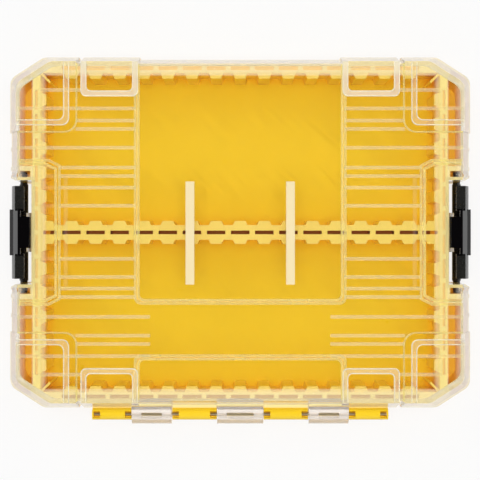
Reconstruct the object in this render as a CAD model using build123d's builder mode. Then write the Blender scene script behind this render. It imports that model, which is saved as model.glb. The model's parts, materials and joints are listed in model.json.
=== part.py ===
import os
from math import cos, radians, sin

from build123d import *

os.makedirs("parts", exist_ok=True)

# A case for screwdriver bits, lying flat. X runs from latch to latch, Y from the hinge (-Y) to the
# front (+Y), Z up. The origin is under the middle of the body, on the face it lies on. All in mm.

# Body of the case
body_width = 310.0
body_depth = 236.0
rim_height = 37.0
case_height = 58.0
wall = 2.2
floor_thickness = 2.2
corner_cut_x = 22.5
corner_cut_y = 14.5
corner_radius = 8.0
pad_step_x = 1.0
pad_step_y = 1.6
base_lean = 1.6
lid_lean_x = 7.4
lid_lean_y = 5.4
rim_gap = 0.2

# Tray, its toothed walls and the rail across its middle
end_zone = 20.5
front_band = 10.5
tooth_pitch = 16.25
tooth_depth = 3.9
tooth_root = 9.8
tooth_tip = 7.2
corner_room = 9.0
rail_half = 5.0
rail_tooth_depth = 2.8
rail_slot_length = 12.4
rail_slot_width = 2.4
rail_slot_depth = 14.0
rail_slot_end = 1.5
rim_slot_length = 13.0
rim_slot_width = 3.3
rim_slot_depth = 4.0
rim_slot_inset = 1.9
side_slot_width = 1.8
side_wall = 5.2
corner_rib_length = 9.0
corner_rib_thickness = 1.6
core_width = 5.2
core_wall = 1.9
cut_over = 1.0

# Latch recesses in both sides, and the pockets that carry the latch's trunnions
recess_half = 34.4
recess_depth = 14.5
recess_lean = 2.9
mouth_chamfer_x = 5.5
mouth_chamfer_y = 2.9
latch_axis_inset = 6.4
latch_axis_height = 20.0
bearing_wall = 2.9
pocket_length = 4.1
pocket_width = 10.7
pocket_inset = 2.8
pocket_below_axis = 3.5
base_pad_length = 44.3
base_pad_radius = 1.0
channel_end = 45.0
channel_corner = 106.0

# Latches
trunnion_radius = 2.5
trunnion_clearance = 0.08
trunnion_end_gap = 0.2
snap_slot = 4.2
barrel_radius = 3.0
barrel_gap = 1.4
wing_gap = 3.4
latch_skin = 2.4
skin_top_inset = 4.8
skin_bulge_inset = 0.4
skin_low_inset = 2.8
flange_rise = 1.6
flange_inset = 10.8
flange_corner = 1.2
notch_half = 14.4
notch_depth = 6.5
latch_rib = 1.8
latch_rib_inset = 8.5
lever_half = 15.4
lever_inset = 8.6
lever_thickness = 1.8
lip_inset = 0.1
lip_drop = 5.3
lip_thickness = 2.0
lip_depth = 3.1
hook_half = 10.4
hook_thickness = 2.8
hook_gap = 0.2
hook_tip_gap = 0.35
hook_chamfer = 1.0
ledge_reach = 3.6
ledge_thickness = 2.3
ledge_half = 13.0
ledge_rise = 8.9

# Hinge
hinge_out = 4.4
pin_radius = 1.5
pin_clearance = 0.05
pin_chamfer = 0.3
base_knuckle_radius = 3.8
lid_knuckle_radius = 6.4
knuckle_gap = 0.3
middle_knuckle_half = 15.5
inner_knuckle_end = 45.7
outer_knuckle_start = 73.0
outer_knuckle_end = 99.6
pin_window = 4.4
pin_end_wall = 1.1
lid_window_end = 6.5
lid_arm_lean = 20.0
gusset_slope = 45.0
knuckle_swing_gap = 0.4

# Top of the lid: plate, ribs, pads, beads and middle panels, each to its own height
pad_drop = 0.7
rib_drop = 1.0
plate_drop = 1.6
plate_thickness = 2.2
rib_width = 2.4
rib_proud = 0.5
rib_offsets = (17.5, 29.5, 37.1, 42.7, 55.8, 68.2, 73.7, 81.7)
rib_lap = 0.9
low_rib_reach = 9.0
low_rib_from = 50.0
corner_rib_offset = 93.8
corner_rib_end = 22.5
long_rib_end = 8.0
corner_rib_rise = 0.35
corner_pad_width = 46.5
corner_pad_length = 51.3
corner_pad_radius = 8.0
corner_bead_step_x = 4.8
corner_bead_step_y = 4.3
corner_bead_radius = 5.0
bead_width = 3.0
side_pad_gap = 3.3
side_pad_width = 37.7
side_pad_depth = 28.3
side_pad_radius = 4.0
side_bead_width = 3.7
side_pad_hollow = 0.4
panel_lap = 1.9
panel_radius = 4.6
plateau_slope = 60.0
plateau_root = 0.4
panel_split = 71.0
lower_panel_depth = 36.6
frame_pad_width = 35.6
frame_pad_margin = 13.0
frame_cut_x = 7.0
frame_cut_y = 3.4
frame_rib_inset = 39.8
frame_rib_margin = 3.6
hold_bar_x = 33.2
hold_bar_y = -0.5
hold_bar_length = 67.8
hold_bar_width = 5.6
hold_bar_drop = 13.0
hold_bar_groove = 1.8
gate_mark_y = 60.7
gate_mark_radius = 2.0
gate_mark_height = 0.4

# Sizes that follow from the ones above
half_x = body_width / 2
half_y = body_depth / 2
field_y = half_y - pad_step_y
tray_half_x = half_x - end_zone
tray_half_y = half_y - front_band
lid_bottom = rim_height + rim_gap
lid_rise = case_height - lid_bottom
pad_top = case_height - pad_drop
rib_top = case_height - rib_drop
plate_top = case_height - plate_drop
ledge_height = rim_height + ledge_rise
recess_x = half_x - recess_depth
latch_axis_x = half_x - latch_axis_inset
pocket_start = recess_half + bearing_wall
hinge_y = -(half_y + hinge_out)
hinge_z = rim_height + rim_gap / 2
side_inner_x = tray_half_x + side_wall
pocket_x = half_x - pocket_inset - pocket_width / 2
pin_half = outer_knuckle_end - pin_end_wall
recess_top_x = recess_x - recess_lean
ledge_wall_x = recess_x - recess_lean * (ledge_height - lid_bottom) / lid_rise
corner_pad_x = half_x - corner_pad_width
corner_pad_y = half_y - corner_pad_length
base_pad_y = half_y - base_pad_length
corner_bead_x = corner_pad_x + corner_bead_step_x
corner_bead_y = corner_pad_y + corner_bead_step_y
side_pad_end = corner_pad_x - side_pad_gap
side_pad_start = side_pad_end - side_pad_width
side_pad_y = half_y - side_pad_depth
panel_half = side_pad_start + panel_lap
rib_start = panel_half - rib_lap
upper_panel_end = panel_split - half_y
lower_panel_start = lower_panel_depth - half_y
frame_pad_x = half_x - frame_pad_width
frame_pad_y = recess_half + frame_pad_margin
reach = body_width


def corner_cut_outline(height, outline_x, outline_y):
    """One closed outline of the case at a height: a rectangle with long cut, rounded corners."""
    with BuildSketch(Plane.XY.offset(height)) as outline:
        with BuildLine():
            Polyline(
                (outline_x, outline_y - corner_cut_y),
                (outline_x - corner_cut_x, outline_y),
                (corner_cut_x - outline_x, outline_y),
                (-outline_x, outline_y - corner_cut_y),
                (-outline_x, corner_cut_y - outline_y),
                (corner_cut_x - outline_x, -outline_y),
                (outline_x - corner_cut_x, -outline_y),
                (outline_x, corner_cut_y - outline_y),
                close=True,
            )
        make_face()
        fillet(outline.vertices(), corner_radius)
    return outline.sketch


def base_body(bottom, shrink_x, shrink_y):
    """The leaning outside of the base between a height and the rim, drawn in by a wall if asked."""
    lean = base_lean * (1 - bottom / rim_height)
    low = corner_cut_outline(bottom, half_x - shrink_x - lean, half_y - shrink_y - lean)
    high = corner_cut_outline(rim_height, half_x - shrink_x, half_y - shrink_y)
    loft([low, high], ruled=True)


def lid_body(top, shrink_x, shrink_y, mode=Mode.ADD):
    """The leaning outside of the lid from its rim to a height, drawn in by a wall if asked."""
    share = (top - lid_bottom) / lid_rise
    low = corner_cut_outline(lid_bottom, half_x - shrink_x, half_y - shrink_y)
    high = corner_cut_outline(
        top,
        half_x - shrink_x - lid_lean_x * share,
        half_y - shrink_y - lid_lean_y * share,
    )
    loft([low, high], ruled=True, mode=mode)


def four_corners(draw):
    """Run a drawing function once for each quarter of the lid, with its signs of X and Y."""
    for sign_x in (1, -1):
        for sign_y in (1, -1):
            draw(sign_x, sign_y)


def corner_patch(sign_x, sign_y, start_x, start_y, radius, mode=Mode.ADD):
    """A patch that fills one corner of the plan, from a rounded inner corner out past the edge."""
    size_x = reach - start_x
    size_y = reach - start_y
    with Locations((sign_x * (start_x + size_x / 2), sign_y * (start_y + size_y / 2))):
        RectangleRounded(size_x, size_y, radius, mode=mode)


def tooth(depth, mode):
    """One tapered tooth of a tray wall, root on the X axis and tip up."""
    root = tooth_root / 2
    tip = tooth_tip / 2
    Polygon(
        (-root, -wall / 2),
        (-root, 0),
        (-tip, depth),
        (tip, depth),
        (root, 0),
        (root, -wall / 2),
        align=None,
        mode=mode,
    )


free_x = tray_half_x - corner_room - tooth_root / 2
free_y = tray_half_y - corner_room - tooth_root / 2
side_x = int(free_x / tooth_pitch)
side_y = int(free_y / tooth_pitch + 0.5)
tooth_places_x = [i * tooth_pitch for i in range(-side_x, side_x + 1)]
tooth_places_y = [(i + 0.5) * tooth_pitch for i in range(side_y)]
rail_x = int(tray_half_x / tooth_pitch)
rail_places = [i * tooth_pitch for i in range(-rail_x, rail_x + 1)]
base_knuckle_spans = (
    (-outer_knuckle_end, -outer_knuckle_start),
    (-inner_knuckle_end, -middle_knuckle_half - knuckle_gap),
    (middle_knuckle_half + knuckle_gap, inner_knuckle_end),
    (outer_knuckle_start, outer_knuckle_end),
)
lid_knuckle_spans = (
    (-outer_knuckle_start + knuckle_gap, -inner_knuckle_end - knuckle_gap),
    (-middle_knuckle_half, middle_knuckle_half),
    (inner_knuckle_end + knuckle_gap, outer_knuckle_start - knuckle_gap),
)

# Raised corner pads and rectangular pads on the outside of the base
with BuildPart() as base_pads:
    base_body(0, 0, 0)
    with BuildSketch(Plane.XY):
        four_corners(
            lambda sx, sy: corner_patch(sx, sy, corner_pad_x, base_pad_y, base_pad_radius)
        )
        with GridLocations(side_pad_start + side_pad_end, 2 * reach, 2, 2):
            Rectangle(side_pad_end - side_pad_start, 2 * (reach - side_pad_y))
    extrude(amount=rim_height, mode=Mode.INTERSECT)

# Open channels between the side walls of the tray and the outer walls of the base
with BuildPart() as side_channels:
    base_body(floor_thickness, pad_step_x + wall, pad_step_y + wall)
    with BuildSketch(Plane.XY):
        with GridLocations(side_inner_x + half_x, channel_end + channel_corner, 2, 2):
            Rectangle(half_x - side_inner_x, channel_corner - channel_end)
    extrude(amount=rim_height, mode=Mode.INTERSECT)

# Knuckles of the base, each on a gusset that runs down the back wall
with BuildPart() as base_knuckles:
    tangent = base_knuckle_radius * cos(radians(gusset_slope))
    gusset_y = -field_y + wall / 2
    for start, end in base_knuckle_spans:
        with BuildSketch(Plane.YZ.offset(start)):
            with Locations((hinge_y, hinge_z)):
                Circle(base_knuckle_radius)
            Polygon(
                (gusset_y, rim_height),
                (hinge_y, rim_height),
                (hinge_y - tangent, hinge_z - tangent),
                (gusset_y, hinge_z - 2 * tangent - (gusset_y - hinge_y)),
                align=None,
            )
        extrude(amount=end - start)

    # The pin shows through a window at both ends of every knuckle
    with BuildSketch(Plane.XY.offset(hinge_z)):
        for start, end in base_knuckle_spans:
            left = start + (pin_end_wall if start == -outer_knuckle_end else 0)
            right = end - (pin_end_wall if end == outer_knuckle_end else 0)
            with Locations((left + pin_window / 2, hinge_y), (right - pin_window / 2, hinge_y)):
                Rectangle(pin_window, pin_window)
    extrude(amount=base_knuckle_radius + cut_over, mode=Mode.SUBTRACT)

with BuildPart() as base_tray:
    base_body(0, pad_step_x, pad_step_y)
    add(base_pads.part)
    add(base_knuckles.part)

    # Room for the lid's larger knuckles, and the bore of the hinge pin
    for start, end in lid_knuckle_spans:
        with BuildSketch(Plane.YZ.offset(start - knuckle_gap)):
            with Locations((hinge_y, hinge_z)):
                Circle(lid_knuckle_radius + knuckle_swing_gap)
        extrude(amount=end - start + 2 * knuckle_gap, mode=Mode.SUBTRACT)
    with BuildSketch(Plane.YZ.offset(-pin_half - knuckle_gap)):
        with Locations((hinge_y, hinge_z)):
            Circle(pin_radius + pin_clearance)
    extrude(amount=pin_half + knuckle_gap + outer_knuckle_end, mode=Mode.SUBTRACT)

    # Latch recesses through the full height, each with a flared mouth
    with BuildSketch(Plane.XY):
        for side in (1, -1):
            Polygon(
                (side * recess_x, -recess_half),
                (side * (half_x - mouth_chamfer_x), -recess_half),
                (side * (half_x + cut_over), -recess_half - mouth_chamfer_y),
                (side * (half_x + cut_over), recess_half + mouth_chamfer_y),
                (side * (half_x - mouth_chamfer_x), recess_half),
                (side * recess_x, recess_half),
                align=None,
            )
    extrude(amount=rim_height, mode=Mode.SUBTRACT)

    # Pockets that the trunnions end in, their bearings and the slots they snap in through
    with BuildSketch(Plane.XY.offset(latch_axis_height - pocket_below_axis)):
        with GridLocations(2 * pocket_x, 2 * pocket_start + pocket_length, 2, 2):
            Rectangle(pocket_width, pocket_length)
    extrude(amount=rim_height, mode=Mode.SUBTRACT)
    with BuildSketch(Plane.XZ):
        for side in (1, -1):
            with Locations((side * latch_axis_x, latch_axis_height)):
                Circle(trunnion_radius + trunnion_clearance)
            with Locations((side * (latch_axis_x + half_x) / 2, latch_axis_height)):
                Rectangle(half_x - latch_axis_x + 2 * cut_over, snap_slot)
    extrude(amount=pocket_start + pocket_length, both=True, mode=Mode.SUBTRACT)

    # Two bays, one each side of the rail, with a tooth left standing at every pitch
    with BuildSketch(Plane.XY.offset(floor_thickness)):
        with GridLocations(0, tray_half_y + rail_half, 1, 2):
            Rectangle(2 * tray_half_x, tray_half_y - rail_half)
        for place in tooth_places_x:
            with Locations(
                Location((place, -tray_half_y, 0), (0, 0, 0)),
                Location((place, tray_half_y, 0), (0, 0, 180)),
            ):
                tooth(tooth_depth, Mode.SUBTRACT)
        for place in rail_places:
            with Locations(
                Location((place, rail_half, 0), (0, 0, 0)),
                Location((place, -rail_half, 0), (0, 0, 180)),
            ):
                tooth(rail_tooth_depth, Mode.SUBTRACT)
        for place in tooth_places_y:
            with Locations(
                Location((tray_half_x, place, 0), (0, 0, 90)),
                Location((tray_half_x, -place, 0), (0, 0, 90)),
                Location((-tray_half_x, place, 0), (0, 0, -90)),
                Location((-tray_half_x, -place, 0), (0, 0, -90)),
            ):
                tooth(tooth_depth, Mode.SUBTRACT)
        for sign_x, sign_y, turn in ((1, 1, 45), (-1, 1, 135), (-1, -1, 225), (1, -1, 315)):
            with Locations(Location((sign_x * tray_half_x, sign_y * tray_half_y, 0), (0, 0, turn))):
                Rectangle(2 * corner_rib_length, corner_rib_thickness, mode=Mode.SUBTRACT)
    extrude(amount=rim_height, mode=Mode.SUBTRACT)
    add(side_channels.part, mode=Mode.SUBTRACT)

    # Slots along the rail and shallower ones in the rim, one behind each tooth
    with BuildSketch(Plane.XY.offset(rim_height)):
        with Locations(*[(place, 0) for place in rail_places]):
            Rectangle(rail_slot_length, rail_slot_width)
        Rectangle(2 * (tray_half_x - rail_slot_end), rail_slot_width, mode=Mode.INTERSECT)
    extrude(amount=-rail_slot_depth, mode=Mode.SUBTRACT)
    with BuildSketch(Plane.XY.offset(rim_height)):
        slot_y = tray_half_y + rim_slot_inset + rim_slot_width / 2
        with Locations(*[(place, side * slot_y) for place in tooth_places_x for side in (1, -1)]):
            Rectangle(rim_slot_length, rim_slot_width)
        slot_x = tray_half_x + rim_slot_inset + side_slot_width / 2
        for place in tooth_places_y:
            with GridLocations(2 * slot_x, 2 * place, 2, 2):
                Rectangle(side_slot_width, rim_slot_length)
    extrude(amount=-rim_slot_depth, mode=Mode.SUBTRACT)

    # Cores in the underside of the front and back walls, one behind and one inside each tooth
    with BuildSketch(Plane.XY):
        core_start = tray_half_y + core_wall
        core_end = field_y - base_lean - wall
        tooth_core_start = tray_half_y - tooth_depth + core_wall
        for place in tooth_places_x:
            with Locations((place, 0)):
                with GridLocations(0, core_start + core_end, 1, 2):
                    Rectangle(rim_slot_length, core_end - core_start)
                with GridLocations(0, tooth_core_start + core_end, 1, 2):
                    Rectangle(core_width, core_end - tooth_core_start)
    extrude(amount=rim_height - rim_slot_depth - wall, mode=Mode.SUBTRACT)

    # Cores in the underside of the rail, one below each slot between its end teeth
    with BuildSketch(Plane.XY):
        with Locations(*[(place, 0) for place in rail_places[1:-1]]):
            Rectangle(rim_slot_length, 2 * (rail_half - core_wall))
    extrude(amount=rim_height - rail_slot_depth - wall, mode=Mode.SUBTRACT)

base_tray.part.label = "base_tray"
export_step(base_tray.part, "parts/base_tray.step")

# Raised pads of the lid: four corners, two middle panels and the frames beside the latches
with BuildPart() as lid_pads:
    lid_body(pad_top, 0, 0)
    with BuildSketch(Plane.XY.offset(lid_bottom)):
        four_corners(
            lambda sx, sy: corner_patch(sx, sy, corner_pad_x, corner_pad_y, corner_pad_radius)
        )
        with GridLocations(side_pad_start + side_pad_end, 2 * reach, 2, 2):
            RectangleRounded(
                side_pad_end - side_pad_start, 2 * (reach - side_pad_y), side_pad_radius
            )
    extrude(amount=lid_rise, mode=Mode.INTERSECT)

# Middle panels and latch frames: low plateaus with sloped sides
with BuildPart() as lid_panels:
    with BuildSketch(Plane.XY.offset(plate_top - plateau_root)):
        for start, end in ((upper_panel_end, reach), (-reach, lower_panel_start)):
            with Locations((0, (start + end) / 2)):
                RectangleRounded(2 * panel_half, end - start, panel_radius)
        for side in (1, -1):
            Polygon(
                (side * reach, frame_pad_y),
                (side * (frame_pad_x + frame_cut_x), frame_pad_y),
                (side * frame_pad_x, frame_pad_y - frame_cut_y),
                (side * frame_pad_x, frame_cut_y - frame_pad_y),
                (side * (frame_pad_x + frame_cut_x), -frame_pad_y),
                (side * reach, -frame_pad_y),
                align=None,
            )
    extrude(amount=pad_top - plate_top + plateau_root, taper=plateau_slope)
    lid_body(pad_top, pad_step_x, pad_step_y, Mode.INTERSECT)

# Narrow beads that stand highest: round the corner pads and the four rectangular pads
with BuildPart() as lid_beads:
    lid_body(case_height, 0, 0)
    with BuildSketch(Plane.XY.offset(lid_bottom)):
        four_corners(
            lambda sx, sy: corner_patch(sx, sy, corner_bead_x, corner_bead_y, corner_bead_radius)
        )
        four_corners(
            lambda sx, sy: corner_patch(
                sx,
                sy,
                corner_bead_x + bead_width,
                corner_bead_y + bead_width,
                corner_bead_radius - bead_width / 2,
                Mode.SUBTRACT,
            )
        )
        with GridLocations(side_pad_start + side_pad_end, 2 * reach, 2, 2):
            RectangleRounded(
                side_pad_end - side_pad_start, 2 * (reach - side_pad_y), side_pad_radius
            )
            RectangleRounded(
                side_pad_end - side_pad_start - 2 * side_bead_width,
                2 * (reach - side_pad_y - side_bead_width),
                side_pad_radius / 2,
                mode=Mode.SUBTRACT,
            )
    extrude(amount=lid_rise, mode=Mode.INTERSECT)

# Cross ribs over both side zones of the lid, running on down the side walls
with BuildPart() as lid_ribs:
    lid_body(rib_top, pad_step_x - rib_proud, pad_step_y - rib_proud)
    with BuildSketch(Plane.XY.offset(lid_bottom)):
        for offset_y in rib_offsets:
            for side in (1, -1):
                longer = side < 0 and offset_y > low_rib_from
                start = rib_start - (low_rib_reach if longer else 0)
                rib_length = reach - start
                with GridLocations(2 * start + rib_length, 0, 2, 1):
                    with Locations((0, side * offset_y)):
                        Rectangle(rib_length, rib_width)
        with GridLocations(2 * (half_x - frame_rib_inset), 0, 2, 1):
            Rectangle(rib_width, 2 * (recess_half + frame_rib_margin))
    extrude(amount=lid_rise, mode=Mode.INTERSECT)

with BuildPart() as lid_outside:
    lid_body(plate_top, pad_step_x, pad_step_y)
    add(lid_pads.part)
    add(lid_panels.part)
    add(lid_beads.part)
    add(lid_ribs.part)

    # Latch recesses, their walls leaning in towards the top
    for side in (1, -1):
        with BuildSketch(Plane.XZ):
            Polygon(
                (side * recess_x, lid_bottom),
                (side * recess_top_x, case_height),
                (side * (half_x + cut_over), case_height),
                (side * (half_x + cut_over), lid_bottom),
                align=None,
            )
        extrude(amount=recess_half, both=True, mode=Mode.SUBTRACT)
        with BuildSketch(Plane.XY.offset(lid_bottom)):
            Polygon(
                (side * (half_x - mouth_chamfer_x), -recess_half),
                (side * (half_x + cut_over), -recess_half - mouth_chamfer_y),
                (side * (half_x + cut_over), recess_half + mouth_chamfer_y),
                (side * (half_x - mouth_chamfer_x), recess_half),
                align=None,
            )
        extrude(amount=lid_rise, mode=Mode.SUBTRACT)

# The hollow of the lid: its outside drawn in by a wall, less the walls of the latch recesses
with BuildPart() as lid_hollow:
    lid_body(plate_top - plate_thickness, pad_step_x + wall, pad_step_y + wall)
    for side in (1, -1):
        with BuildSketch(Plane.XZ):
            Polygon(
                (side * (recess_x - wall), lid_bottom),
                (side * (recess_top_x - wall), case_height),
                (side * (half_x + cut_over), case_height),
                (side * (half_x + cut_over), lid_bottom),
                align=None,
            )
        extrude(amount=recess_half + wall, both=True, mode=Mode.SUBTRACT)
        with BuildSketch(Plane.XY.offset(lid_bottom)):
            with Locations((side * half_x, 0)):
                Rectangle(
                    2 * (mouth_chamfer_x + wall), 2 * (recess_half + mouth_chamfer_y + wall)
                )
        extrude(amount=lid_rise, mode=Mode.SUBTRACT)

with BuildPart() as lid:
    add(lid_outside.part)
    add(lid_hollow.part, mode=Mode.SUBTRACT)

    # Shallow hollows in the four rectangular pads, inside their beads
    with BuildSketch(Plane.XY.offset(plate_top - side_pad_hollow)):
        hollow_depth = half_y - lid_lean_y - side_pad_y - 2 * side_bead_width
        hollow_y = side_pad_y + side_bead_width + hollow_depth / 2
        with GridLocations(side_pad_start + side_pad_end, 2 * hollow_y, 2, 2):
            Rectangle(side_pad_end - side_pad_start - 2 * side_bead_width, hollow_depth)
    extrude(amount=lid_rise, mode=Mode.SUBTRACT)

    # Ledges that the latch hooks hold down
    for side in (1, -1):
        with BuildSketch(Plane.XZ):
            Polygon(
                (side * (ledge_wall_x - wall / 2), ledge_height),
                (side * (ledge_wall_x + ledge_reach), ledge_height),
                (side * (ledge_wall_x + ledge_reach), ledge_height - ledge_thickness),
                (side * (ledge_wall_x - wall / 2), ledge_height - 2 * ledge_thickness),
                align=None,
            )
        extrude(amount=ledge_half, both=True)

    # Knuckles of the lid, each with an arm that runs up to the back wall
    lean = radians(lid_arm_lean)
    arm_y = hinge_y - lid_knuckle_radius * sin(lean)
    arm_z = hinge_z + lid_knuckle_radius * cos(lean)
    wall_y = -field_y + lid_lean_y * (arm_z - lid_bottom) / lid_rise + wall
    for start, end in lid_knuckle_spans:
        with BuildSketch(Plane.YZ.offset(start)):
            with Locations((hinge_y, hinge_z)):
                Circle(lid_knuckle_radius)
            Polygon(
                (hinge_y, lid_bottom),
                (arm_y, arm_z),
                (wall_y, arm_z + (wall_y - arm_y) * sin(lean) / cos(lean)),
                (-field_y + wall / 2, lid_bottom),
                align=None,
            )
        extrude(amount=end - start)
        with BuildSketch(Plane.XY.offset(hinge_z)):
            with Locations(((start + end) / 2, hinge_y)):
                Rectangle(end - start - 2 * lid_window_end, pin_window)
        extrude(amount=lid_knuckle_radius + cut_over, mode=Mode.SUBTRACT)
    with BuildSketch(Plane.YZ.offset(-pin_half)):
        with Locations((hinge_y, hinge_z)):
            Circle(pin_radius + pin_clearance)
    extrude(amount=2 * pin_half, mode=Mode.SUBTRACT)

    # Hold-down bars under the plate, each a channel of two thin walls
    with BuildSketch(Plane.XY.offset(plate_top - plate_thickness / 2)):
        with Locations((hold_bar_x, hold_bar_y), (-hold_bar_x, hold_bar_y)):
            Rectangle(hold_bar_width, hold_bar_length)
    extrude(amount=-hold_bar_drop)
    with BuildSketch(Plane.XY.offset(plate_top - plate_thickness / 2 - hold_bar_drop)):
        with Locations((hold_bar_x, hold_bar_y), (-hold_bar_x, hold_bar_y)):
            Rectangle(hold_bar_groove, hold_bar_length)
    extrude(amount=hold_bar_drop - plate_thickness / 2, mode=Mode.SUBTRACT)

    # Two low ribs across each corner pad, the longer one in line with a cross rib
    with BuildSketch(Plane.XY.offset(plate_top)):
        for offset_y, end in ((corner_rib_offset, corner_rib_end), (rib_offsets[-1], long_rib_end)):
            rib_far = half_x - end
            with GridLocations(side_pad_end + rib_far, 2 * offset_y, 2, 2):
                Rectangle(rib_far - side_pad_end, rib_width)
    extrude(amount=pad_top - plate_top + corner_rib_rise)

    # The mark that the moulding gate leaves on the upper panel
    with BuildSketch(Plane.XY.offset(pad_top)):
        with Locations((0, gate_mark_y)):
            Circle(gate_mark_radius)
    extrude(amount=gate_mark_height)

lid.part.label = "lid"
export_step(lid.part, "parts/lid.step")

with BuildPart() as hinge_pin:
    with BuildSketch(Plane.YZ.offset(-pin_half)):
        with Locations((hinge_y, hinge_z)):
            Circle(pin_radius)
    extrude(amount=2 * pin_half)
    chamfer(hinge_pin.edges().filter_by(GeomType.CIRCLE), pin_chamfer)
hinge_pin.part.label = "hinge_pin"
export_step(hinge_pin.part, "parts/hinge_pin.step")

# One latch, drawn on the right side of the case and mirrored for the left
latch_top = ledge_height + flange_rise
latch_bottom = latch_axis_height - barrel_radius
skin_mid = (latch_top + latch_bottom) / 2
skin_top_x = half_x - skin_top_inset
skin_mid_x = half_x - skin_bulge_inset
skin_low_x = half_x - skin_low_inset
flange_x = half_x - flange_inset
wing_half = recess_half - wing_gap
hook_top = ledge_height + hook_gap + hook_thickness
hook_tip_x = ledge_wall_x + hook_tip_gap
lever_x = half_x - lever_inset
lip_x = half_x - lip_inset
lip_top = ledge_height - lip_drop

with BuildPart() as latch_right:
    # Bulging plate with a flange turned in along its top
    with BuildSketch(Plane.XZ):
        with BuildLine():
            Line((flange_x, latch_top), (skin_top_x, latch_top))
            ThreePointArc((skin_top_x, latch_top), (skin_mid_x, skin_mid), (skin_low_x, latch_bottom))
            Line((skin_low_x, latch_bottom), (skin_low_x - latch_skin, latch_bottom))
            ThreePointArc(
                (skin_low_x - latch_skin, latch_bottom),
                (skin_mid_x - latch_skin, skin_mid),
                (skin_top_x - latch_skin, latch_top - latch_skin),
            )
            Line(
                (skin_top_x - latch_skin, latch_top - latch_skin),
                (flange_x, latch_top - latch_skin),
            )
            Line((flange_x, latch_top - latch_skin), (flange_x, latch_top))
        make_face()
    extrude(amount=wing_half, both=True)
    fillet(latch_right.edges().filter_by(Axis.Z).group_by(Axis.X)[0], flange_corner)

    # The middle of the plate is cut away above, for the lever and its hook
    with BuildSketch(Plane.XY.offset(latch_top - notch_depth)):
        with Locations(((flange_x + half_x) / 2, 0)):
            Rectangle(flange_inset + 2 * cut_over, 2 * notch_half)
    extrude(amount=notch_depth + cut_over, mode=Mode.SUBTRACT)

    # Lever: a sloped face that ends in a lip for the fingers
    with BuildSketch(Plane.XZ):
        Polygon(
            (lever_x, hook_top),
            (lever_x + lever_thickness, hook_top),
            (lip_x - lip_thickness, lip_top + lever_thickness / 2),
            (lip_x, lip_top),
            (lip_x, lip_top - lip_thickness),
            (lip_x - lip_depth, lip_top - lip_thickness - lever_thickness / 2),
            (lip_x - lip_depth - lever_thickness, lip_top - lip_thickness),
            (lever_x, hook_top - hook_thickness),
            align=None,
        )
    extrude(amount=lever_half, both=True)

    # Hook that reaches over the lid's ledge
    with BuildSketch(Plane.XZ):
        Polygon(
            (lever_x + lever_thickness, hook_top),
            (hook_tip_x + hook_chamfer, hook_top),
            (hook_tip_x, hook_top - hook_chamfer),
            (hook_tip_x, hook_top - hook_thickness),
            (lever_x + lever_thickness, hook_top - hook_thickness),
            align=None,
        )
    extrude(amount=hook_half, both=True)

    # Barrel, trunnions and the stiffening ribs behind the plate
    with BuildSketch(Plane.XZ):
        with Locations((latch_axis_x, latch_axis_height)):
            Circle(barrel_radius)
    extrude(amount=recess_half - barrel_gap, both=True)
    with BuildSketch(Plane.XZ):
        with Locations((latch_axis_x, latch_axis_height)):
            Circle(trunnion_radius)
    extrude(amount=pocket_start + pocket_length - trunnion_end_gap, both=True)
    outer_rib = wing_half - latch_rib / 2
    notch_rib = notch_half + latch_rib / 2
    for rib_y in (-outer_rib, -notch_rib, notch_rib, outer_rib):
        with BuildSketch(Plane.XZ.offset(-rib_y)):
            Polygon(
                (latch_axis_x, latch_bottom),
                (skin_low_x - latch_skin / 2, latch_bottom),
                (skin_mid_x - latch_skin / 2, skin_mid),
                (skin_top_x - latch_skin / 2, latch_top - latch_skin / 2),
                (half_x - latch_rib_inset, latch_top - latch_skin / 2),
                (latch_axis_x, latch_axis_height),
                align=None,
            )
        extrude(amount=latch_rib / 2, both=True)
latch_right.part.label = "latch_right"
export_step(latch_right.part, "parts/latch_right.step")

with BuildPart() as latch_left:
    mirror(latch_right.part, about=Plane.YZ)
latch_left.part.label = "latch_left"
export_step(latch_left.part, "parts/latch_left.step")
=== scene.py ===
import json
import math

import bmesh
import bpy
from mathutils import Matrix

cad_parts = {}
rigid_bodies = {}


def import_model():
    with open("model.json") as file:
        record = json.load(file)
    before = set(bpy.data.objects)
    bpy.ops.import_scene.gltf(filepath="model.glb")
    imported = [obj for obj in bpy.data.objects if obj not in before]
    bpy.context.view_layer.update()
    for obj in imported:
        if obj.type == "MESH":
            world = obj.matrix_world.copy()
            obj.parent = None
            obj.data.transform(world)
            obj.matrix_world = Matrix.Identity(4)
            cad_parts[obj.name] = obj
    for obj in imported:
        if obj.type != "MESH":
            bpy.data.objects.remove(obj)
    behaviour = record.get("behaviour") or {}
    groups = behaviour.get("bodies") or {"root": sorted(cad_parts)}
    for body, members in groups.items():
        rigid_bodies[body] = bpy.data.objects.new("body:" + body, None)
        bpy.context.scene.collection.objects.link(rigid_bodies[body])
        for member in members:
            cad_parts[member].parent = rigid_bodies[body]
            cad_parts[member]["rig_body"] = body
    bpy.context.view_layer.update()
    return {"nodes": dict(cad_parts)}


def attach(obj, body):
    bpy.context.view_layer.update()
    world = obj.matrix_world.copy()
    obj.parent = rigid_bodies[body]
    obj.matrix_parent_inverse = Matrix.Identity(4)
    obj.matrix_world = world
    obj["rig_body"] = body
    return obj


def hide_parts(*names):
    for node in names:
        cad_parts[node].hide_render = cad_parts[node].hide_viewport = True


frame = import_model()
print("frame loaded:", len(frame["nodes"]), "nodes")

mm = 0.001


# Node and mesh helpers

def newMaterial(name):
    material = bpy.data.materials.new(name)
    material.use_nodes = True
    material.node_tree.nodes.clear()
    return material, material.node_tree


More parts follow.
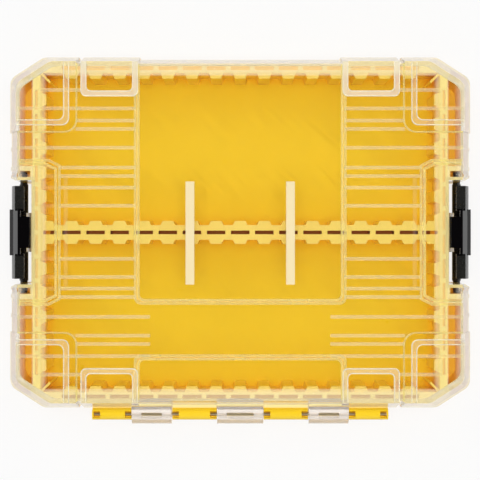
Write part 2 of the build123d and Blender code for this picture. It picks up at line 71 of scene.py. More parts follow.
def addNode(tree, kind, links=None, **settings):
    # a link goes to an input by its name or number, a plain value is set there
    node = tree.nodes.new(kind)
    for key, value in settings.items():
        setattr(node, key, value)
    for key, value in (links or {}).items():
        socket = node.inputs[key]
        if isinstance(value, bpy.types.NodeSocket):
            tree.links.new(value, socket)
        else:
            socket.default_value = value
    return node


def math2(tree, operation, a, b=0.0, clamp=False):
    node = addNode(tree, "ShaderNodeMath", {0: a, 1: b}, operation=operation, use_clamp=clamp)
    return node.outputs[0]


def ramp(tree, value, low, high):
    # 0 below low, 1 above high, with an eased step between
    node = addNode(
        tree,
        "ShaderNodeMapRange",
        {"Value": value, "From Min": low, "From Max": high, "To Min": 0.0, "To Max": 1.0},
        interpolation_type="SMOOTHSTEP",
    )
    return node.outputs[0]


def rampMm(tree, value, span):
    # the same step over a span in mm
    return ramp(tree, value, span[0] * mm, span[1] * mm)


def below(tree, value, limit):
    # 1 below a limit in mm, 0 above it
    return math2(tree, "LESS_THAN", value, limit * mm)


def between(tree, value, span):
    # 1 inside a span in mm, 0 outside it
    return math2(
        tree, "MULTIPLY", math2(tree, "GREATER_THAN", value, span[0] * mm), below(tree, value, span[1])
    )


def allOf(tree, first, *others):
    # 1 where every mask is 1
    for mask in others:
        first = math2(tree, "MULTIPLY", first, mask)
    return first


def inverse(tree, value):
    return math2(tree, "SUBTRACT", 1.0, value)


def scaled(tree, value, factor, offset):
    node = addNode(tree, "ShaderNodeMath", {0: value, 1: factor, 2: offset}, operation="MULTIPLY_ADD")
    return node.outputs[0]


def spread(tree, value, look):
    # a noise turned into a roughness round the middle one of the look
    return scaled(tree, value, look["roughSpread"], look["roughness"] - look["roughSpread"] / 2)


def mixColour(tree, factor, first, second):
    node = addNode(tree, "ShaderNodeMix", data_type="RGBA")
    for key, value in ((0, factor), (6, first), (7, second)):
        socket = node.inputs[key]
        if isinstance(value, bpy.types.NodeSocket):
            tree.links.new(value, socket)
        else:
            socket.default_value = value
    return node.outputs[2]


def noise(tree, scale, detail=2.0, stretch=(1, 1, 1)):
    coords = addNode(tree, "ShaderNodeTexCoord").outputs["Object"]
    mapping = addNode(tree, "ShaderNodeMapping", {"Vector": coords, "Scale": stretch})
    texture = addNode(
        tree, "ShaderNodeTexNoise", {"Vector": mapping.outputs[0], "Scale": scale, "Detail": detail}
    )
    return texture.outputs["Fac"]


def bump(tree, height, strength, distance):
    links = {"Height": height, "Strength": strength, "Distance": distance}
    return addNode(tree, "ShaderNodeBump", links).outputs[0]


def place(tree):
    # position on the piece and the way its face looks, as separate numbers
    coords = addNode(tree, "ShaderNodeTexCoord")
    position = addNode(tree, "ShaderNodeSeparateXYZ", {0: coords.outputs["Object"]})
    facing = addNode(tree, "ShaderNodeSeparateXYZ", {0: coords.outputs["Normal"]})
    return position.outputs, facing.outputs


def surface(tree, shader):
    addNode(tree, "ShaderNodeOutputMaterial", {"Surface": shader})


# Materials

facingSpans = {  # how far up a face looks, from 0 for a wall to 1 for a floor
    "trayTop": (0.5, 0.9),
    "lidWall": (0.55, 0.97),
    "lidFlat": (0.8, 0.95),
    "lidSlope": (0.86, 0.91),
    "lidSlopeEnd": (0.94, 0.96),
}
alongX = (0.02, 1, 1)  # draws a noise out into streaks

yellow = {
    # painted light: faces that face up at the rim height are paler, in the rim colour outside and the
    # inner top colour inside
    "rim": (0.96, 0.84, 0.40, 1),
    "rail": (0.92, 0.70, 0.16, 1),
    # painted light: the walls' colour changes with height and is set brighter than the floor's, for the
    # light they lack
    "wall": (0.99, 0.67, 0.04, 1),
    "lowWallPaintedLight": (1.0, 0.70, 0.08, 1),
    "floor": (0.88, 0.605, 0.024, 1),
    # painted light: the floors of the deep side channels are brighter than the main floor
    "channel": (1.0, 0.71, 0.07, 1),
    # painted light: the hinge knuckles get a tone of their own, set for the light that falls on them
    "knuckle": (0.98, 0.66, 0.012, 1),
    # painted shade: the slots in the central rail are dark brown
    "railSlot": (0.36, 0.14, 0.03, 1),
    # painted shade: the slots along the hinge-side rim are darker brown
    "rimSlotPaintedShade": (0.56, 0.30, 0.05, 1),
    "mottle": 0.05,
    "mottleScale": 35,
    "roughness": 0.30,
    "roughSpread": 0.12,
    "roughScale": 90,
    "grain": 0.12,
    "grainScale": 1800,
    "grainDepth": 0.03,  # mm
    "through": (1.0, 0.50, 0.06, 1),
    "throughShare": 0.75,
}
trayZones = {  # mm, where the tray changes its tone: painted light and shade
    "topEdge": (34.0, 36.5),
    "rim": 37.3,
    "wall": (0.0, 30.0),
    "floor": 3.0,
    "outsideX": (133.5, 135.5),
    "outsideY": (106.5, 108.5),
    "channelX": (135.5, 136.5),
    "slotHalfX": 130.0,
    "railSlotHalfY": 2.6,
    "railSlotZ": (22.0, 36.6),
    "rimSlotY": (-112.3, -108.3),
    "rimSlotZ": (32.0, 36.8),
    "knuckleY": -118.2,
}


def letLampsThrough(tree, skin, share, colour):
    # the plastic lets part of the lamps' light pass, in its own colour
    lampPath = addNode(tree, "ShaderNodeLightPath").outputs["Is Shadow Ray"]
    passing = addNode(tree, "ShaderNodeBsdfTransparent", {"Color": colour})
    share = math2(tree, "MULTIPLY", lampPath, share)
    both = addNode(tree, "ShaderNodeMixShader", {0: share, 1: skin.outputs[0], 2: passing.outputs[0]})
    surface(tree, both.outputs[0])


def trayColourAndPaintedLight(tree):
    position, facing = place(tree)
    height = position[2]
    sideways = math2(tree, "ABSOLUTE", position[0])
    endways = math2(tree, "ABSOLUTE", position[1])
    up = ramp(tree, facing[2], *facingSpans["trayTop"])
    # the floor's own colour, with painted light on the side channels' floors
    floorAndChannelLight = mixColour(
        tree, rampMm(tree, sideways, trayZones["channelX"]), yellow["floor"], yellow["channel"]
    )
    # painted light on the walls, changing with height
    body = mixColour(tree, rampMm(tree, height, trayZones["wall"]), yellow["lowWallPaintedLight"], yellow["wall"])
    body = mixColour(tree, allOf(tree, up, below(tree, height, trayZones["floor"])), body, floorAndChannelLight)
    outside = math2(
        tree,
        "MAXIMUM",
        rampMm(tree, sideways, trayZones["outsideX"]),
        rampMm(tree, endways, trayZones["outsideY"]),
    )
    # painted light: paler tops at the rim height
    edge = mixColour(tree, outside, yellow["rail"], yellow["rim"])
    top = allOf(
        tree, rampMm(tree, height, trayZones["topEdge"]), below(tree, height, trayZones["rim"]), up
    )
    colour = mixColour(tree, top, body, edge)
    alongSlots = below(tree, sideways, trayZones["slotHalfX"])
    # painted shade in the central rail's slots
    railSlot = allOf(
        tree,
        alongSlots,
        below(tree, endways, trayZones["railSlotHalfY"]),
        between(tree, height, trayZones["railSlotZ"]),
    )
    colour = mixColour(tree, railSlot, colour, yellow["railSlot"])
    # painted shade in the hinge-side rim slots
    rimSlotPaintedShade = allOf(
        tree,
        alongSlots,
        between(tree, position[1], trayZones["rimSlotY"]),
        between(tree, height, trayZones["rimSlotZ"]),
    )
    colour = mixColour(tree, rimSlotPaintedShade, colour, yellow["rimSlotPaintedShade"])
    # painted light: the hinge knuckles' own tone
    return mixColour(tree, below(tree, position[1], trayZones["knuckleY"]), colour, yellow["knuckle"])


def makeYellow():
    material, tree = newMaterial("trayYellow")
    cloud = noise(tree, yellow["mottleScale"], 3)
    shade = scaled(tree, cloud, yellow["mottle"], 1 - yellow["mottle"] / 2)
    colour = addNode(
        tree, "ShaderNodeVectorMath", {0: trayColourAndPaintedLight(tree), "Scale": shade}, operation="SCALE"
    )
    grain = noise(tree, yellow["grainScale"], 2)
    skin = addNode(
        tree,
        "ShaderNodeBsdfPrincipled",
        {
            "Base Color": colour.outputs[0],
            "Roughness": spread(tree, noise(tree, yellow["roughScale"], 4), yellow),
            "IOR": 1.49,
            "Normal": bump(tree, grain, yellow["grain"], yellow["grainDepth"] * mm),
        },
    )
    letLampsThrough(tree, skin, yellow["throughShare"], yellow["through"])
    return material


# the lid is clear glass with a diffuse painted sheen on its edges, ribs, beads, bars and over the tray
# walls, standing in for highlights, reflections and scattered light
clear = {
    "tint": (1.0, 0.992, 0.975, 1),
    "skirtSheenColour": (1.0, 0.93, 0.84, 1),
    "topSheenColour": (1.0, 0.95, 0.78, 1),
    "barSheenColour": (0.95, 0.80, 0.48, 1),
    "lineSheenColour": (0.98, 0.90, 0.42, 1),
    "endVeilSheenColour": (0.99, 0.92, 0.66, 1),
    "sideVeilSheenColour": (0.99, 0.91, 0.50, 1),
    "beadSheenColour": (1.0, 0.97, 0.88, 1),
    "knuckleSheenColour": (0.94, 0.88, 0.82, 1),
    "sheenGain": 4.0,  # how soon a slight painted sheen takes on the full colour of its sheen
    "wallSheen": 0.38,
    "edgeSheen": 0.50,
    "ribSheen": 0.06,
    "beadSheen": 0.42,
    "backBeadShare": 0.55,
    "cornerBeadSheen": 0.18,
    "veilSheen": 0.24,
    "fringeSheen": 0.18,
    "slopeSheen": 0.18,
    "knuckleSheen": 0.32,
    "streakSpread": 0.7,
    "streakScale": 800,
    "barSheen": 0.95,
    "lineSheen": 0.14,
    "edgeLineSheen": 0.26,
    "brightLineSheen": 0.65,
    "lineSpread": 0.8,
    "lineScale": 40,
    "sheenLampBlock": 0.4,
    "passing": (0.97, 0.965, 0.95, 1),
    "roughness": 0.03,
    "roughSpread": 0.03,
    "roughScale": 60,
    "wave": 0.15,
    "waveScale": 45,
    "waveDepth": 0.2,  # mm
}
lidZones = {  # mm, where the lid changes from clear to a painted sheen
    "high": (56.0, 56.3),
    "ribTop": (56.7, 56.8),
    "ribTopEnd": 57.15,
    "padRibTop": (57.5, 57.6),
    "padRibTopEnd": 57.7,
    "bead": (57.75, 57.9),
    "barX": 33.2,
    "barHalfX": 2.85,
    "barShiftY": 0.5,
    "barHalfY": 34.0,
    "cornerX": 107.0,
    "plate": (53.5, 54.0),
    "endVeilY": (103.0, 104.5),
    "sideVeilX": (127.5, 131.5),
    "sideVeilEndX": (136.5, 138.0),
    "fringeX": (141.0, 147.0),
    "knuckleY": -118.3,
}


def clearPlastic(tree, paintedSheen, sheenColour):
    # clear where the painted sheen is 0, a diffuse painted highlight where it is 1, in the sheen colour
    # from a slight sheen on
    sheenShare = math2(tree, "MULTIPLY", paintedSheen, clear["sheenGain"], clamp=True)
    rough = noise(tree, clear["roughScale"], 3)
    wave = noise(tree, clear["waveScale"], 1)
    glass = addNode(
        tree,
        "ShaderNodeBsdfPrincipled",
        {
            "Base Color": mixColour(tree, sheenShare, clear["tint"], sheenColour),
            "Roughness": scaled(tree, rough, clear["roughSpread"], clear["roughness"]),
            "IOR": 1.5,
            "Transmission Weight": inverse(tree, paintedSheen),
            "Normal": bump(tree, wave, clear["wave"], clear["waveDepth"] * mm),
        },
    )
    shade = math2(tree, "MULTIPLY", paintedSheen, clear["sheenLampBlock"])
    letLampsThrough(tree, glass, inverse(tree, shade), clear["passing"])


def makeClear():
    material, tree = newMaterial("lidClear")
    position, facing = place(tree)
    height = position[2]
    across = math2(tree, "ABSOLUTE", position[0])
    level = math2(tree, "ABSOLUTE", facing[2])
    high = rampMm(tree, height, lidZones["high"])

    # painted highlights on the walls and the slopes between the levels
    wall = inverse(tree, ramp(tree, level, *facingSpans["lidWall"]))
    wallSheen = scaled(tree, high, clear["edgeSheen"] - clear["wallSheen"], clear["wallSheen"])
    paintedSheen = math2(tree, "MULTIPLY", wall, wallSheen)
    slope = math2(tree, "MULTIPLY", high, ramp(tree, level, *facingSpans["lidSlope"]))
    slope = math2(tree, "SUBTRACT", slope, ramp(tree, level, *facingSpans["lidSlopeEnd"]))

    # painted highlights on the tops of ribs and beads, weaker on the back half of the lid
    ribTop = allOf(
        tree, rampMm(tree, height, lidZones["ribTop"]), below(tree, height, lidZones["ribTopEnd"])
    )
    padRibTop = allOf(
        tree, rampMm(tree, height, lidZones["padRibTop"]), below(tree, height, lidZones["padRibTopEnd"])
    )
    ribTop = math2(tree, "MAXIMUM", ribTop, padRibTop)
    beadTop = rampMm(tree, height, lidZones["bead"])
    corner = math2(tree, "GREATER_THAN", across, lidZones["cornerX"] * mm)
    cornerBead = math2(tree, "MULTIPLY", beadTop, corner)
    front = math2(tree, "GREATER_THAN", position[1], 0.0)
    front = scaled(tree, front, 1.0 - clear["backBeadShare"], clear["backBeadShare"])
    bead = allOf(tree, beadTop, inverse(tree, corner), front)

    # the hold-down bars, whitish with a painted reflection
    offBar = math2(tree, "ABSOLUTE", math2(tree, "SUBTRACT", across, lidZones["barX"] * mm))
    along = math2(tree, "ABSOLUTE", math2(tree, "ADD", position[1], lidZones["barShiftY"] * mm))
    bar = allOf(
        tree, below(tree, offBar, lidZones["barHalfX"]), below(tree, along, lidZones["barHalfY"])
    )

    # the plate gets a painted pale veil over the walls of the tray, where its light runs out, standing
    # in for light scattered in the lid
    flat = ramp(tree, level, *facingSpans["lidFlat"])
    flat = math2(tree, "MULTIPLY", rampMm(tree, height, lidZones["plate"]), flat)
    endVeil = rampMm(tree, math2(tree, "ABSOLUTE", position[1]), lidZones["endVeilY"])
    sideVeil = math2(
        tree,
        "SUBTRACT",
        rampMm(tree, across, lidZones["sideVeilX"]),
        rampMm(tree, across, lidZones["sideVeilEndX"]),
    )
    veil = math2(tree, "MULTIPLY", flat, math2(tree, "MAXIMUM", endVeil, sideVeil))
    fringe = math2(tree, "MULTIPLY", flat, rampMm(tree, across, lidZones["fringeX"]))

    for mask, amount in (
        (slope, "slopeSheen"),
        (veil, "veilSheen"),
        (fringe, "fringeSheen"),
        (ribTop, "ribSheen"),
        (cornerBead, "cornerBeadSheen"),
        (bead, "beadSheen"),
        (bar, "barSheen"),
    ):
        paintedSheen = math2(tree, "MAXIMUM", paintedSheen, math2(tree, "MULTIPLY", mask, clear[amount]))
    # painted highlights: the clear knuckles get pale streaks along X, which also lighten their shaded
    # slit
    knuckle = below(tree, position[1], lidZones["knuckleY"])
    streaks = noise(tree, clear["streakScale"], 2, alongX)
    middle = clear["knuckleSheen"] - clear["streakSpread"] / 2
    streaks = scaled(tree, streaks, clear["streakSpread"], middle)
    paintedSheen = math2(tree, "MAXIMUM", paintedSheen, math2(tree, "MULTIPLY", knuckle, streaks))

    sheenColour = mixColour(tree, high, clear["skirtSheenColour"], clear["topSheenColour"])
    sheenColour = mixColour(tree, knuckle, sheenColour, clear["knuckleSheenColour"])
    veilSheenColour = mixColour(tree, endVeil, clear["sideVeilSheenColour"], clear["endVeilSheenColour"])
    sheenColour = mixColour(tree, veil, sheenColour, veilSheenColour)
    sheenColour = mixColour(tree, bead, sheenColour, clear["beadSheenColour"])
    sheenColour = mixColour(tree, bar, sheenColour, clear["barSheenColour"])
    clearPlastic(tree, paintedSheen, sheenColour)
    return material


# each raised line carries a painted highlight: a pale sheen of patchy strength in the given colour
def makeLine(name, amount, sheenColour):
    material, tree = newMaterial(name)
    paintedSheen = clear[amount]
    cloud = noise(tree, clear["lineScale"], 2)
    cloud = scaled(tree, cloud, paintedSheen * clear["lineSpread"], paintedSheen * (1 - clear["lineSpread"] / 2))
    clearPlastic(tree, cloud, clear[sheenColour])
    return material


black = {
    "low": (0.007, 0.007, 0.006, 1),
    "high": (0.014, 0.014, 0.012, 1),
    "toneScale": 220,
    # the hook is polished, and its darker black is painted shade
    "hook": (0.0008, 0.0004, 0.0008, 1),
    "roughness": 0.28,
    "roughSpread": 0.14,
    "roughScale": 300,
    "grain": 0.25,
    "grainScale": 2400,
    "grainDepth": 0.05,  # mm
    "hookHalf": 15.6,  # mm, where the hook is polished
    "hookFrom": 30.0,
    "hookPolish": 0.8,
}


def makeBlack():
    material, tree = newMaterial("latchBlack")
    position = place(tree)[0]
    # the hook: polished, with a darker black as painted shade
    hook = allOf(
        tree,
        below(tree, math2(tree, "ABSOLUTE", position[1]), black["hookHalf"]),
        math2(tree, "GREATER_THAN", position[2], black["hookFrom"] * mm),
    )
    colour = mixColour(tree, noise(tree, black["toneScale"], 4), black["low"], black["high"])
    rough = spread(tree, noise(tree, black["roughScale"], 3), black)
    polish = inverse(tree, math2(tree, "MULTIPLY", hook, black["hookPolish"]))
    grain = noise(tree, black["grainScale"], 3)
    skin = addNode(
        tree,
        "ShaderNodeBsdfPrincipled",
        {
            "Base Color": mixColour(tree, hook, colour, black["hook"]),
            "Roughness": math2(tree, "MULTIPLY", rough, polish),
            "IOR": 1.5,
            "Normal": bump(tree, grain, black["grain"], black["grainDepth"] * mm),
        },
    )
    surface(tree, skin.outputs[0])
    return material


# the steel's warm yellow tint is a painted reflection of the yellow tray round the pin; the streaks
# along X are its drawn grain
steel = {
    "low": (0.72, 0.64, 0.42, 1),
    "high": (0.92, 0.83, 0.60, 1),
    "roughness": 0.30,
    "roughSpread": 0.16,
    "grain": 0.2,
    "grainScale": 900,
    "grainDepth": 0.03,  # mm
}


def makeSteel():
    material, tree = newMaterial("pinSteel")
    drawn = noise(tree, steel["grainScale"], 3, alongX)
    skin = addNode(
        tree,
        "ShaderNodeBsdfPrincipled",
        {
            "Base Color": mixColour(tree, drawn, steel["low"], steel["high"]),
            "Metallic": 1.0,
            "Roughness": spread(tree, drawn, steel),
            "Normal": bump(tree, drawn, steel["grain"], steel["grainDepth"] * mm),
        },
    )
    surface(tree, skin.outputs[0])
    return material


trayYellow = makeYellow()
lidClear = makeClear()
lidLine = makeLine("lidLine", "lineSheen", "lineSheenColour")
lidEdgeLine = makeLine("lidEdgeLine", "edgeLineSheen", "lineSheenColour")
lidBrightLine = makeLine("lidBrightLine", "brightLineSheen", "topSheenColour")
latchBlack = makeBlack()
pinSteel = makeSteel()
print("materials made")


# Pieces: each moulding is its CAD shape with the small edge rounding that a mould leaves

rounding = {"tray": 0.30, "lid": 0.28, "latch": 0.35}  # mm
edges = {
    "flatAngle": 0.5,  # degrees, as the other angles
    "creaseAngle": 28,
    "sharpAngle": 24,
    "lineSharpAngle": 50,
    "merge": 0.002,  # mm
    "segments": 2,
    "flatWeight": 80,
}


def plainMesh(holder):
    # the evaluated mesh of an object, with its modifiers in it
    graph = bpy.context.evaluated_depsgraph_get()
    mesh = bpy.data.meshes.new_from_object(holder.evaluated_get(graph), depsgraph=graph)
    holder.modifiers.clear()
    holder.data = mesh
    return mesh


def softEdged(node, name, radius, material):
    mesh = frame["nodes"][node].data.copy()
    work = bmesh.new()
    work.from_mesh(mesh)
    bmesh.ops.remove_doubles(work, verts=work.verts, dist=edges["merge"] * mm)
    bmesh.ops.dissolve_degenerate(work, edges=work.edges, dist=edges["merge"] * mm)
    bmesh.ops.dissolve_limit(
        work, angle_limit=math.radians(edges["flatAngle"]), verts=work.verts, edges=work.edges
    )
    work.to_mesh(mesh)
    work.free()
    piece = bpy.data.objects.new(name, mesh)
    bpy.context.scene.collection.objects.link(piece)
    bevel = piece.modifiers.new("edge", "BEVEL")
    bevel.width = radius * mm
    bevel.segments = edges["segments"]
    bevel.limit_method = "ANGLE"
    bevel.angle_limit = math.radians(edges["creaseAngle"])
    bevel.use_clamp_overlap = True
    mesh = plainMesh(piece)
    mesh.name = name
    mesh.shade_smooth()
    mesh.set_sharp_from_angle(angle=math.radians(edges["sharpAngle"]))
    weighted = piece.modifiers.new("flats", "WEIGHTED_NORMAL")
    weighted.keep_sharp = True
    weighted.weight = edges["flatWeight"]
    mesh = plainMesh(piece)
    mesh.name = name
    mesh.materials.clear()
    mesh.materials.append(material)
    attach(piece, frame["nodes"][node]["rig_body"])
    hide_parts(node)
    print("piece", name, len(mesh.polygons), "faces")
    return piece


softEdged("base_tray", "trayMoulding", rounding["tray"], trayYellow)
softEdged("lid", "lidMoulding", rounding["lid"], lidClear)
softEdged("latch_left", "latchLeftMoulding", rounding["latch"], latchBlack)
softEdged("latch_right", "latchRightMoulding", rounding["latch"], latchBlack)

# Fine raised lines on the lid, where its ribs, pads, beads and panels have their rounded edges

lid = {  # mm, as the lid is moulded
    "halfX": 155.0,
    "halfY": 118.0,
    "stepX": 1.0,
    "leanX": 7.4,
    "leanY": 5.4,
    "rim": 37.2,
    "top": 58.0,
    "padTop": 57.3,
    "ribTop": 57.0,
    "plateTop": 56.4,
    "ribs": (17.5, 29.5, 37.1, 42.7, 55.8, 68.2, 73.7, 81.7),
    "padRibs": ((93.8, 132.5), (81.7, 146.8)),
    "padRibRise": 0.35,
    "ribEdgeStep": 0.65,
    "ribEdgeRise": 0.15,
    "ribStart": 68.5,
    "lowRibStart": 59.5,
    "lowRibFrom": 50.0,
    "panelX": 69.4,
    "upperPanelY": -47.0,
    "lowerPanelY": -81.4,
    "panelSlope": 2.25,
    "cornerX": 108.5,
    "cornerY": 66.7,
    "beadX": 113.3,
    "beadY": 71.0,
    "beadWidth": 3.0,
    "sidePadStart": 67.5,
    "sidePadEnd": 105.2,
    "sidePadY": 89.7,
    "sideBead": 3.7,
    "frameX": 119.4,
    "frameY": 47.4,
    "frameCutX": 7.0,
    "frameCutY": 3.4,
    "padStep": 0.4,  # how far each line lies from the nominal edge, or ends before the outside
    "padEnd": 1.2,
    "beadStep": 0.1,
    "sideBeadStep": 0.3,
    "beadEnd": 0.6,
    "panelEnd": 2.2,
    "frameEnd": 2.0,
    "lineSink": 0.06,  # the lines start inside the lid, as two faces in one plane turn black
}
lineKinds = {  # mm
    "rib": {"width": 2.2, "rise": 0.25, "corner": 0.0, "material": lidLine},
    "ribEdge": {"width": 0.5, "rise": 0.20, "corner": 0.0, "material": lidEdgeLine},
    "padRib": {"width": 2.2, "rise": 0.20, "corner": 0.0, "material": lidLine},
    "pad": {"width": 1.2, "rise": 0.85, "corner": 8.0, "material": lidEdgeLine},
    "bead": {"width": 0.8, "rise": 0.60, "corner": 4.2, "material": lidBrightLine},
    "sideBead": {"width": 0.9, "rise": 0.60, "corner": 3.2, "material": lidBrightLine},
    "panel": {"width": 1.6, "rise": 0.35, "corner": 4.0, "material": lidEdgeLine},
    "frame": {"width": 2.0, "rise": 0.30, "corner": 0.0, "material": lidEdgeLine},
}


def lidEdgeX(height):
    share = (height - lid["rim"]) / (lid["top"] - lid["rim"])
    return lid["halfX"] - lid["leanX"] * share


def lidEdgeY(height):
    share = (height - lid["rim"]) / (lid["top"] - lid["rim"])
    return lid["halfY"] - lid["leanY"] * share


def fourWays(points):
    # the path in each quarter of the lid
    return [[(sx * x, sy * y, z) for x, y, z in points] for sx in (1, -1) for sy in (1, -1)]


def ribPaths():
    level = lid["ribTop"]
    paths = []
    for offset in lid["ribs"]:
        for sx in (1, -1):
            for sy in (1, -1):
                lower = sy < 0 and offset > lid["lowRibFrom"]
                start = lid["lowRibStart"] if lower else lid["ribStart"]
                if offset < lid["frameY"]:
                    end = lid["frameX"]
                elif offset < lid["cornerY"]:
                    end = lidEdgeX(level) - lid["stepX"]
                else:
                    end = lid["cornerX"]
                paths.append([(sx * start, sy * offset, level), (sx * end, sy * offset, level)])
    return paths


def ribEdgePaths():
    # the ribs between the latch frames have a sharper edge towards the front
    level = lid["ribTop"] + lid["ribEdgeRise"]
    paths = []
    for offset in lid["ribs"]:
        if offset < lid["frameY"]:
            rib = [(lid["ribStart"], offset, level), (lid["frameX"], offset, level)]
            for start, end in fourWays(rib):
                y = start[1] + lid["ribEdgeStep"]
                paths.append([(start[0], y, level), (end[0], y, level)])
    return paths


def padRibPaths():
    level = lid["padTop"] + lid["padRibRise"]
    paths = []
    for y, end in lid["padRibs"]:
        paths += fourWays([(lid["sidePadEnd"], y, level), (end, y, level)])
    return paths


def padPaths():
    edge = lid["plateTop"]
    x, y = lid["cornerX"] - lid["padStep"], lid["cornerY"] - lid["padStep"]
    farX, farY = lidEdgeX(edge) - lid["padEnd"], lidEdgeY(edge) - lid["padEnd"]
    return fourWays([(x, farY, edge), (x, y, edge), (farX, y, edge)])


def beadPaths():
    edge = lid["padTop"]
    farX, farY = lidEdgeX(edge) - lid["beadEnd"], lidEdgeY(edge) - lid["beadEnd"]
    paths = []
    for step in (-lid["beadStep"], lid["beadWidth"] + lid["beadStep"]):
        x, y = lid["beadX"] + step, lid["beadY"] + step
        paths += fourWays([(x, farY, edge), (x, y, edge), (farX, y, edge)])
    return paths


def sideBeadPaths():
    edge = lid["padTop"]
    far = lidEdgeY(edge) - lid["beadEnd"]
    paths = []
    for step in (lid["sideBeadStep"], lid["sideBead"] - lid["sideBeadStep"]):
        start, end = lid["sidePadStart"] + step, lid["sidePadEnd"] - step
        y = lid["sidePadY"] + step
        paths += fourWays([(start, far, edge), (start, y, edge), (end, y, edge), (end, far, edge)])
    return paths


def panelPaths():
    paths = []
    for step, level in ((0.0, lid["plateTop"]), (lid["panelSlope"], lid["padTop"])):
        far = lidEdgeY(level) - lid["panelEnd"]
        x = lid["panelX"] - step
        for side, start in ((1, lid["upperPanelY"] + step), (-1, lid["lowerPanelY"] - step)):
            end = side * far
            paths.append([(-x, end, level), (-x, start, level), (x, start, level), (x, end, level)])
    return paths


def framePaths():
    paths = []
    for step, level in ((0.0, lid["plateTop"]), (lid["panelSlope"], lid["padTop"])):
        x, y = lid["frameX"] + step, lid["frameY"] - step
        far = lidEdgeX(level) - lid["frameEnd"]
        for side in (1, -1):
            cut = side * (x + lid["frameCutX"])
            paths.append(
                [
                    (side * far, y, level),
                    (cut, y, level),
                    (side * x, y - lid["frameCutY"], level),
                    (side * x, lid["frameCutY"] - y, level),
                    (cut, -y, level),
                    (side * far, -y, level),
                ]
            )
    return paths


lineDetail = {"cornerSteps": 6, "archSteps": 9}


def raisedLineTree():
    # a rounded strip swept along each path of the mesh that it is given
    tree = bpy.data.node_groups.new("raisedLine", "GeometryNodeTree")
    for name, kind in (
        ("Geometry", "NodeSocketGeometry"),
        ("Width", "NodeSocketFloat"),
        ("Rise", "NodeSocketFloat"),
        ("Corner Radius", "NodeSocketFloat"),
        ("Material", "NodeSocketMaterial"),
    ):
        tree.interface.new_socket(name, in_out="INPUT", socket_type=kind)
    tree.interface.new_socket("Geometry", in_out="OUTPUT", socket_type="NodeSocketGeometry")
    given = addNode(tree, "NodeGroupInput").outputs
    path = addNode(tree, "GeometryNodeMeshToCurve", {"Mesh": given["Geometry"]}).outputs[0]
    path = addNode(
        tree,
        "GeometryNodeFilletCurve",
        {
            "Curve": path,
            "Count": lineDetail["cornerSteps"],
            "Radius": given["Corner Radius"],
            "Limit Radius": True,
        },
        mode="POLY",
    ).outputs[0]
    path = addNode(tree, "GeometryNodeSetCurveNormal", {"Curve": path}, mode="Z_UP").outputs[0]
    arch = addNode(
        tree,
        "GeometryNodeCurveArc",
        {
            "Resolution": lineDetail["archSteps"],
            "Radius": 1.0,
            "Sweep Angle": math.pi,
            "Connect Center": True,
        },
        mode="RADIUS",
    ).outputs[0]
    halfWidth = math2(tree, "MULTIPLY", given["Width"], 0.5)
    upwards = math2(tree, "MULTIPLY", given["Rise"], -1.0)
    size = addNode(tree, "ShaderNodeCombineXYZ", {"X": halfWidth, "Y": upwards, "Z": 1.0})
    arch = addNode(tree, "GeometryNodeTransform", {"Geometry": arch, "Scale": size.outputs[0]})
    swept = addNode(
        tree,
        "GeometryNodeCurveToMesh",
        {"Curve": path, "Profile Curve": arch.outputs[0], "Fill Caps": True},
    )
    real = addNode(tree, "GeometryNodeRealizeInstances", {"Geometry": swept.outputs[0]})
    painted = addNode(
        tree,
        "GeometryNodeSetMaterial",
        {"Geometry": real.outputs[0], "Material": given["Material"]},
    )
    addNode(tree, "NodeGroupOutput", {"Geometry": painted.outputs[0]})
    return tree


def raisedLines(tree, name, paths, kind):
    verts, lines = [], []
    for path in paths:
        first = len(verts)
        verts += [(x * mm, y * mm, (z - lid["lineSink"]) * mm) for x, y, z in path]
        lines += [(first + i, first + i + 1) for i in range(len(path) - 1)]
    mesh = bpy.data.meshes.new(name)
    mesh.from_pydata(verts, lines, [])
    piece = bpy.data.objects.new(name, mesh)
    bpy.context.scene.collection.objects.link(piece)
    sockets = tree.interface.items_tree
    inputs = {item.name: item.identifier for item in sockets if item.in_out == "INPUT"}
    sweep = piece.modifiers.new("sweep", "NODES")
    sweep.node_group = tree
    sweep[inputs["Width"]] = kind["width"] * mm
    sweep[inputs["Rise"]] = kind["rise"] * mm
    sweep[inputs["Corner Radius"]] = kind["corner"] * mm
    sweep[inputs["Material"]] = kind["material"]
    mesh = plainMesh(piece)
    mesh.name = name
    work = bmesh.new()
    work.from_mesh(mesh)
    bmesh.ops.recalc_face_normals(work, faces=work.faces)
    work.to_mesh(mesh)
    work.free()
    mesh.shade_smooth()
    mesh.set_sharp_from_angle(angle=math.radians(edges["lineSharpAngle"]))
    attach(piece, frame["nodes"]["lid"]["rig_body"])
    print("piece", name, len(mesh.polygons), "faces")
    return piece


lineTree = raisedLineTree()
raisedLines(lineTree, "lidRibCrowns", ribPaths(), lineKinds["rib"])
raisedLines(lineTree, "lidRibEdges", ribEdgePaths(), lineKinds["ribEdge"])
raisedLines(lineTree, "lidPadRibCrowns", padRibPaths(), lineKinds["padRib"])
raisedLines(lineTree, "lidPadEdges", padPaths(), lineKinds["pad"])
raisedLines(lineTree, "lidBeadEdges", beadPaths(), lineKinds["bead"])
raisedLines(lineTree, "lidSideBeadEdges", sideBeadPaths(), lineKinds["sideBead"])
raisedLines(lineTree, "lidPanelEdges", panelPaths(), lineKinds["panel"])
raisedLines(lineTree, "lidFrameEdges", framePaths(), lineKinds["frame"])

pin = frame["nodes"]["hinge_pin"]
pin.data.materials.clear()
pin.data.materials.append(pinSteel)


# Stage, light and camera

stage = {
    "floorHalf": 1.6,
    "floorTone": 0.86,
    "floorGlow": 0.80,
    "worldLight": 0.24,
    "overheadTone": 0.05,  # the dark gap over the table that flat glossy faces mirror
    "overheadFrom": 0.65,
    "overheadTo": 0.85,
}


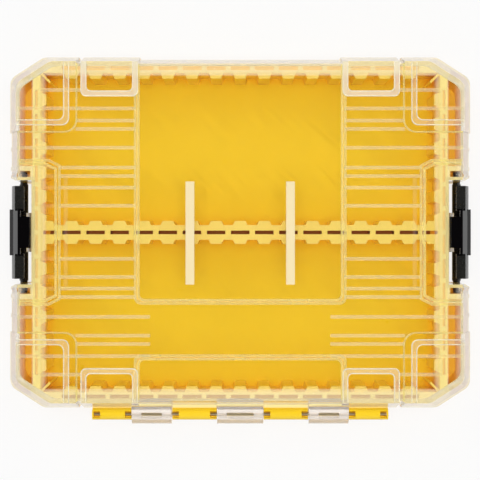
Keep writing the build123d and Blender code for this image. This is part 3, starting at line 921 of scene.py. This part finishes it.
def makeFloor():
    material, tree = newMaterial("floorPale")
    paths = addNode(tree, "ShaderNodeLightPath").outputs
    seen = math2(tree, "MAXIMUM", paths["Is Camera Ray"], paths["Is Glossy Ray"])
    seen = math2(tree, "MAXIMUM", seen, paths["Is Transmission Ray"])
    tone = stage["floorTone"]
    matte = addNode(tree, "ShaderNodeBsdfDiffuse", {"Color": (tone, tone, tone, 1)})
    glow = addNode(tree, "ShaderNodeEmission", {"Color": (1, 1, 1, 1), "Strength": 1.0})
    share = math2(tree, "MULTIPLY", seen, stage["floorGlow"])
    both = addNode(tree, "ShaderNodeMixShader", {0: share, 1: matte.outputs[0], 2: glow.outputs[0]})
    surface(tree, both.outputs[0])
    half = stage["floorHalf"]
    mesh = bpy.data.meshes.new("floor")
    corners = [(-half, -half, 0), (half, -half, 0), (half, half, 0), (-half, half, 0)]
    mesh.from_pydata(corners, [], [(0, 1, 2, 3)])
    mesh.materials.append(material)
    floor = bpy.data.objects.new("floor", mesh)
    bpy.context.scene.collection.objects.link(floor)


def makeWorld():
    world = bpy.data.worlds.new("studio")
    bpy.context.scene.world = world
    world.use_nodes = True
    tree = world.node_tree
    tree.nodes.clear()
    paths = addNode(tree, "ShaderNodeLightPath").outputs
    seen = math2(tree, "MAXIMUM", paths["Is Camera Ray"], paths["Is Glossy Ray"])
    seen = math2(tree, "MAXIMUM", seen, paths["Is Transmission Ray"])
    dim = stage["worldLight"]
    gap = stage["overheadTone"]
    ray = addNode(tree, "ShaderNodeTexCoord").outputs["Generated"]
    rise = addNode(tree, "ShaderNodeSeparateXYZ", {0: ray}).outputs[2]
    overhead = ramp(tree, rise, stage["overheadFrom"], stage["overheadTo"])
    mirrored = mixColour(tree, overhead, (1, 1, 1, 1), (gap, gap, gap, 1))
    colour = mixColour(tree, seen, (dim, dim, dim, 1), (1, 1, 1, 1))
    colour = mixColour(tree, paths["Is Glossy Ray"], colour, mirrored)
    back = addNode(tree, "ShaderNodeBackground", {"Color": colour, "Strength": 1.0})
    addNode(tree, "ShaderNodeOutputWorld", {"Surface": back.outputs[0]})


lamps = {
    "upperLeft": {"at": (-0.75, 0.65, 1.05), "size": 0.9, "power": 2.6},
    "upperRight": {"at": (0.85, 0.35, 1.0), "size": 0.9, "power": 2.1},
    "front": {"at": (0.0, -1.0, 0.9), "size": 1.0, "power": 1.6},
    "overhead": {"at": (0.0, 0.0, 1.8), "size": 0.8, "power": 18.6, "mirrored": False},
}


def makeLamps():
    for name, lamp in lamps.items():
        light = bpy.data.lights.new(name, "AREA")
        light.shape = "DISK"
        light.size = lamp["size"]
        light.energy = lamp["power"]
        holder = bpy.data.objects.new(name, light)
        holder.location = lamp["at"]
        holder.visible_glossy = lamp.get("mirrored", True)
        holder.visible_transmission = lamp.get("mirrored", True)
        aim = -holder.location.normalized()
        holder.rotation_euler = aim.to_track_quat("-Z", "Y").to_euler()
        bpy.context.scene.collection.objects.link(holder)


view = {
    "x": -0.00013,
    "y": -0.0051,
    "height": 0.9375,
    "focalPixels": 1335,
    "frame": 480,  # pixels
    "sensor": 36,  # mm
    "clipStart": 0.01,
}


def makeCamera():
    camera = bpy.data.cameras.new("camera")
    camera.sensor_width = view["sensor"]
    camera.lens = view["focalPixels"] / view["frame"] * view["sensor"]
    camera.clip_start = view["clipStart"]
    holder = bpy.data.objects.new("camera", camera)
    holder.location = (view["x"], view["y"], view["height"])
    bpy.context.scene.collection.objects.link(holder)
    bpy.context.scene.camera = holder


makeFloor()
makeWorld()
makeLamps()
makeCamera()
bpy.context.scene.view_settings.view_transform = "Standard"
print("stage, lamps and camera set")
